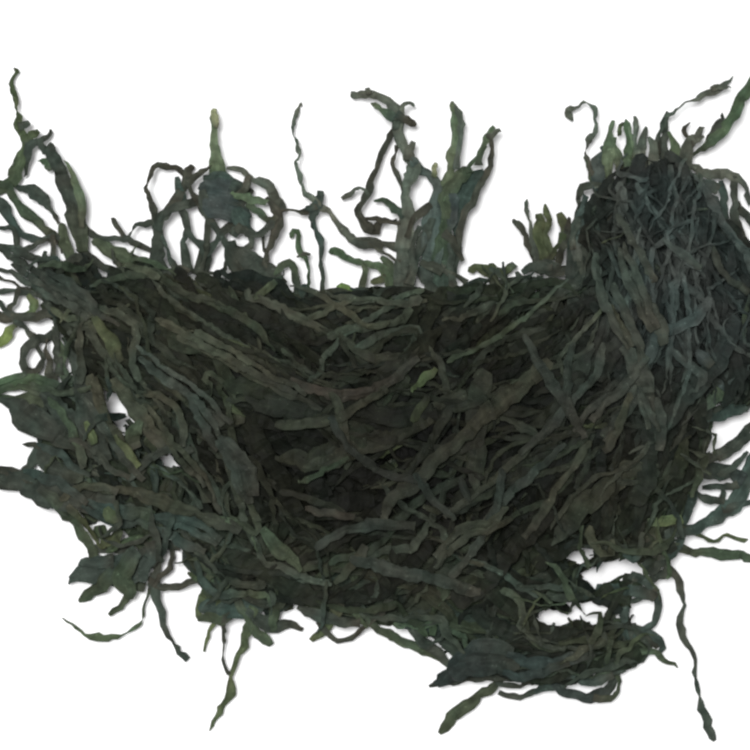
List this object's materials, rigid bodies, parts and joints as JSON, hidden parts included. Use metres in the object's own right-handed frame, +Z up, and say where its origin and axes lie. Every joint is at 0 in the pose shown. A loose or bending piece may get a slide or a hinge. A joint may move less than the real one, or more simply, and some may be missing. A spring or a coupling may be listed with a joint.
{
  "type": "heap of dried kelp strips",
  "caption": "Loose tangled heap of dried kelp cut into narrow strips, garland-shaped, with single strips straying past its edge.",
  "frame": {"origin": "on the flat underside, under the middle of the heap", "axes": "+Z up from the table, +X along the heap's length"},
  "size_m": [0.3337, 0.2773, 0.0498],
  "materials": {
    "dried_kelp": "matte"
  },
  "bodies": {
    "root": {"kelp_heap": "dried_kelp"}
  },
  "joints": []
}
